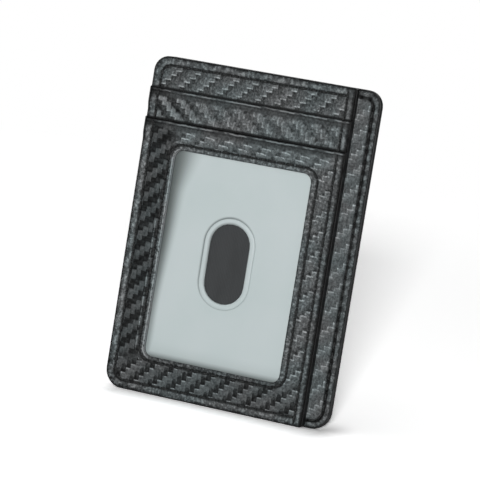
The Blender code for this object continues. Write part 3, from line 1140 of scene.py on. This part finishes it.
def windowPanel():
    mouth, low, high = front["layers"][0]
    box = (*front["box"][:3], mouth)
    radii = front["radii"][:2] + (0, 0)
    opening = (window["opening"], window["radius"])
    openingRadii = (window["radius"],) * 4
    hole = openRing("opening", window["opening"], low, openingRadii, panelCounts["inner"])
    panel = openRing("leather_window_panel", box, low, radii, panelCounts["outer"], rimRings)
    join(panel, hole)
    edit()
    margin = sum(rimRings) * 0.9
    pick("EDGE", lambda edge: len(edge.link_faces) < 2 and within(edge, box, margin, radii[0]))
    bpy.ops.mesh.bridge_edge_loops(type="SINGLE", number_cuts=panelCounts["across"], interpolation="LINEAR")
    leave()
    thicken(panel, leatherThick)
    roundOff(panel, box, radii, low, edges["border"])
    roundOff(panel, window["opening"], openingRadii, low, edges["window"])
    lift(panel, mouth - edges["drapeDrop"], high - low, drapeLength)
    turnedEdge(panel, box, low, high)
    for name in ("front", "slot", "window"):
        seams[name].mark(panel)
    finish = embossedLeather(
        "panel", panelSeamLines, panelLook, low + edges["coated"],
        mouth=(mouth, panelCrease), opening=opening, slot=front["slotShade"],
    )
    finished(panel, finish, "window_panel")


def within(edge, box, margin, radius):
    # Whether an edge lies inside an outline, whose lower left corner is rounded
    middle = (edge.verts[0].co + edge.verts[1].co) / 2
    left, right, bottom, top = box
    if not (left + margin < middle.x < right - margin and bottom + margin < middle.z < top - margin):
        return False
    away = Vector((middle.x - left - radius, middle.z - bottom - radius))
    return not (away.x < 0 and away.y < 0 and away.length > radius - margin)


print("leather of the front half")
windowPanel()
leatherStrip("middle_pocket_strip", front, 85.4 * mm, 1, (150, 32), secondLook)
leatherStrip("front_top_strip", front, 95.4 * mm, 2, (150, 32), "top")

print("leather of the back half")
leatherStrip("rear_top_strip", rear, 95.4 * mm, 3, (160, 32), "rear")
leatherStrip("rear_pocket_1_strip", rear, 85.4 * mm, 2, (160, 32), "rear")
leatherStrip("rear_pocket_2_strip", rear, 75.4 * mm, 1, (160, 32), "rear")
leatherStrip("rear_pocket_3_panel", rear, rear["box"][2], 0, (150, 150), "rear")

# Facing inside the money slot's mouth, with the part of the back half's seam that shows there
print("slot facing")
facingStrip = {
    "box": inMm(21.0, 38.55, 0.45, 109.55),
    "radii": inMm(0, 5.55, 4.55, 0),
    "layers": [inMm(110, 0.10, 0.10)],
    "seamFrom": 31.5 * mm,
    "coated": -0.001 * mm,
    # From and to where painted shade darkens the facing towards the money slot
    "slotShade": inMm(31.3, 30.2),
}


def slotFacing():
    box = facingStrip["box"]
    radii = facingStrip["radii"]
    low = facingStrip["layers"][0][1]
    piece = sheetOf("leather_slot_facing", box, low, radii, (44, 240), leatherThick, rimRings)
    path = roundPath(rear["seam"], rear["seamRadii"], sewing["step"])
    shown = [point for point in path if point[0] > facingStrip["seamFrom"]]
    seam = lineSeam("facing_seam_thread", facingStrip, shown)
    # Its leather faces the other way from the rest of the back half
    seam.side = -1
    roundOff(piece, box, radii, low, edges["border"])
    seam.mark(piece)
    slotShade = facingStrip["slotShade"]
    finish = embossedLeather("facing", rearSeamLines, "facing", facingStrip["coated"], slot=slotShade)
    finished(piece, finish, "slot_facing")
    return seam


facingSeam = slotFacing()

print("threads")
threadFinish = blackThread()
stitch = oneStitch()
for seam in (*seams.values(), facingSeam):
    seam.thread(stitch, threadFinish)
bpy.data.objects.remove(stitch)


# Window film with its thumb hole and raised rim
def windowFilm():
    face = film["face"]
    box = widened(window["opening"], film["lap"])
    hole = openRing("thumb_hole", film["hole"], face, (film["holeRadius"],) * 4, (1, 30))
    sheet = openRing("window_film_sheet", box, face, (film["radius"],) * 4, (1, 30))
    join(sheet, hole)
    edit()
    selectAll()
    bpy.ops.mesh.bridge_edge_loops(type="SINGLE", number_cuts=10, interpolation="LINEAR")
    leave()
    thicken(sheet, film["thick"])
    join(sheet, thumbRim())
    finished(sheet, frostedFilm(), "window_film")


def thumbRim():
    # Rings stepped up and down from the outer line to the hole, then closed behind
    box = widened(film["hole"], film["rim"])
    radius = film["holeRadius"] + film["rim"]
    rim = cutOutline("thumb_rim", box, film["face"] + film["rimOut"], (radius,) * 4, (1, 30))
    for inset, rise in film["rimSteps"]:
        bpy.ops.mesh.inset(thickness=inset * mm)
        bpy.ops.transform.translate(value=(0, -rise * mm, 0))
    openMiddle()
    pick("EDGE", lambda edge: len(edge.link_faces) < 2)
    bpy.ops.mesh.bridge_edge_loops(type="SINGLE", number_cuts=0)
    turnOutwards()
    return rim


print("window film")
windowFilm()

# Linings, each a sheet of thin cloth behind the leather
lining = {
    "thick": 0.2 * mm,
    "left": -37.15,
    "lowRadius": 4.15,
    "highRadius": 3.15,
}
# In mm: right side, foot, top, y of the face. Then which sides' corners are rounded, left and right
linings = {
    "middle_pocket_lining": (29.45, 4.0, 89.9, -1.75, 0, 0),
    "front_base_lining": (29.45, 1.85, 108.15, -1.50, 1, 0),
    "slot_front_lining": (29.45, 1.85, 108.15, -0.40, 1, 0),
    "slot_back_lining": (20.95, 1.85, 108.15, 0.10, 1, 0),
    "rear_base_lining": (37.15, 1.85, 108.15, 1.05, 1, 1),
    "rear_pocket_1_lining": (37.15, 14, 89.9, 1.30, 0, 0),
    "rear_pocket_2_lining": (37.15, 14, 79.9, 1.55, 0, 0),
}
print("linings")
clothFinish = plainCloth()
for name, (right, foot, top, face, atLeft, atRight) in linings.items():
    low = lining["lowRadius"]
    high = lining["highRadius"]
    box = inMm(lining["left"], right, foot, top)
    radii = inMm(low * atLeft, low * atRight, high * atRight, high * atLeft)
    piece = sheetOf("cloth_" + name, box, face * mm, radii, (24, 32), lining["thick"], rim=())
    finished(piece, clothFinish, name)

# The back half's coating has an even depth, so that its right side is smooth, as in the photograph
backCoating = {
    "box": inMm(-39, 39, 0, 110),
    "radii": inMm(6, 6, 5, 5),
    "face": 0.1 * mm,
    "wide": 0.45 * mm,
    "deep": 2.3 * mm,
    "bevel": 0.14 * mm,
    # At the left it crosses to the front half, where the money slot is closed
    "bridgePlace": inMm(-38.75, -0.05, 55),
    "bridgeSize": inMm(0.4, 0.5, 96),
}


def backCoat(finish):
    box = backCoating["box"]
    rings = (backCoating["wide"],)
    piece = openRing("edge_coat_back", box, backCoating["face"], backCoating["radii"], (40, 60), rings)
    thicken(piece, backCoating["deep"])
    apply(piece, "BEVEL", width=backCoating["bevel"], segments=2, limit_method="ANGLE")
    deselect()
    bpy.ops.mesh.primitive_cube_add(size=1, location=backCoating["bridgePlace"])
    bridge = bpy.context.object
    bridge.scale = backCoating["bridgeSize"]
    settle(bridge)
    join(piece, bridge)
    finished(piece, finish, "back_edge_coat")


# Boards and the front half's edge coating keep their shape from the source
print("boards and edge coating")
coatFinish = edgePaint()
boardFinish = greyBoard()
backCoat(coatFinish)
fromSource = {"front_board": boardFinish, "back_board": boardFinish, "front_edge_coat": coatFinish}
for name, finish in fromSource.items():
    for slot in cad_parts[name].material_slots:
        slot.material = finish

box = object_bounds()
